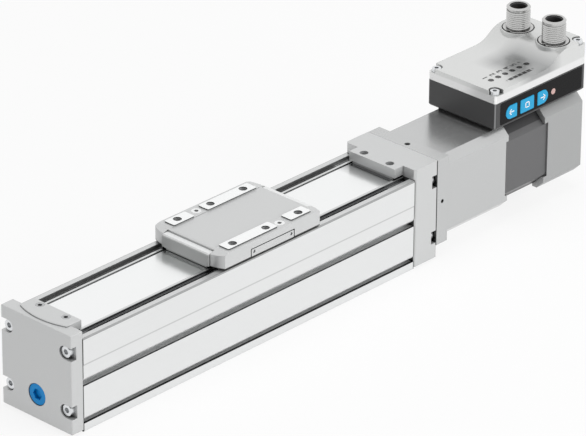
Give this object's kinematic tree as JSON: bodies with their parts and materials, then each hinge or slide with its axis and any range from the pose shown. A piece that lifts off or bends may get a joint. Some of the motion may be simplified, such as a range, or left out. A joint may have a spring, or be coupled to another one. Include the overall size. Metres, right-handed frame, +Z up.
{
  "type": "spindle axis unit",
  "caption": "ball screw linear axis with an aluminium profile, a flat carriage, a steel cover strip and a stepper motor with an integrated drive box",
  "frame": {"origin": "the middle of the profile's length and width, on its underside, which is the mounting face", "axes": "+X runs along the travel from the free end cap to the motor, +Z is up through the carriage, and the long side with the push buttons faces -Y"},
  "size_m": [0.353, 0.045, 0.092],
  "materials": {
    "profile_aluminium": "extruded, satin anodised",
    "milled_aluminium": "milled, fine blasted and anodised",
    "strip_steel": "roll-formed stainless, fine brushed",
    "bright_steel": "ground bearing steel",
    "screw_steel": "zinc plated",
    "grey_plastic": "moulded, matt",
    "buffer_rubber": "moulded",
    "blue_plastic": "moulded, glossy",
    "black_plastic": "moulded, fine texture",
    "lid_plastic": "moulded, silver-grey satin",
    "window_plastic": "dark tinted, glossy",
    "bell_aluminium": "die cast and machined",
    "stator_steel": "laminated steel, dark lacquer",
    "nickel_brass": "nickel plated brass",
    "gold_contact": "gold plated",
    "circuit_board": "glass-epoxy board, solder resist"
  },
  "bodies": {
    "axis_frame": {"profile": "profile_aluminium", "guide_rail": "bright_steel", "rail_screws": "screw_steel", "cover_strip": "strip_steel", "end_cap": "milled_aluminium", "end_cap_screws": "screw_steel", "port_plug": "blue_plastic", "strip_clamp": "milled_aluminium", "clamp_screws": "screw_steel", "free_end_bearing": "bright_steel", "end_buffers": "buffer_rubber", "head_block": "milled_aluminium", "head_screws": "screw_steel", "strip_set_screws": "screw_steel", "fixed_bearings": "bright_steel", "bearing_retainer": "bright_steel", "coupling_housing": "milled_aluminium", "flange_screws": "screw_steel", "motor_front_bell": "bell_aluminium", "motor_stator": "stator_steel", "motor_rear_bell": "bell_aluminium", "motor_screws": "screw_steel", "motor_bearings": "bright_steel", "bearing_plate": "bell_aluminium", "encoder_board": "circuit_board", "drive_gasket": "buffer_rubber", "drive_base": "black_plastic", "button_foil": "black_plastic", "switch_board": "circuit_board", "status_light": "window_plastic", "control_board": "circuit_board", "drive_lid": "lid_plastic", "lid_screws": "screw_steel", "status_windows": "window_plastic", "position_bar": "window_plastic", "socket_shells": "nickel_brass", "socket_nuts": "nickel_brass", "socket_seals": "buffer_rubber", "socket_inserts": "black_plastic", "socket_pins": "gold_contact"},
    "carriage": {"carriage_plate": "milled_aluminium", "wipers": "grey_plastic", "side_covers": "milled_aluminium", "side_cover_screws": "screw_steel", "port_screws": "screw_steel", "slide_block": "milled_aluminium", "ball_nut": "bright_steel", "guide_runner": "bright_steel"},
    "drive_train": {"spindle": "bright_steel", "lock_nut": "bright_steel", "spindle_hub": "milled_aluminium", "motor_hub": "milled_aluminium", "coupling_star": "buffer_rubber", "hub_screws": "screw_steel", "motor_shaft": "bright_steel", "motor_rotor": "stator_steel", "encoder_magnet": "stator_steel"},
    "back_key": {"back_button": "blue_plastic"},
    "stop_key": {"stop_button": "blue_plastic"},
    "forward_key": {"forward_button": "blue_plastic"}
  },
  "joints": [
    {"name": "carriage_slide", "type": "slide", "parent": "axis_frame", "child": "carriage", "axis": [1, 0, 0], "range_m": [-0.062, 0.038]},
    {"name": "spindle_spin", "type": "hinge", "parent": "axis_frame", "child": "drive_train", "pos_m": [0.0023, 0, 0.0295], "axis": [1, 0, 0], "range_deg": [-1370, 2234]},
    {"name": "back_press", "type": "slide", "parent": "axis_frame", "child": "back_key", "axis": [0, 1, 0], "range_m": [0, 0.0004], "stiffness_N_per_m": 1200, "springref_m": -0.0003},
    {"name": "stop_press", "type": "slide", "parent": "axis_frame", "child": "stop_key", "axis": [0, 1, 0], "range_m": [0, 0.0004], "stiffness_N_per_m": 1200, "springref_m": -0.0003},
    {"name": "forward_press", "type": "slide", "parent": "axis_frame", "child": "forward_key", "axis": [0, 1, 0], "range_m": [0, 0.0004], "stiffness_N_per_m": 1200, "springref_m": -0.0003}
  ],
  "couplings": [
    {"joint": "spindle_spin", "follows": "carriage_slide", "rad_per_m": -628.32}
  ]
}
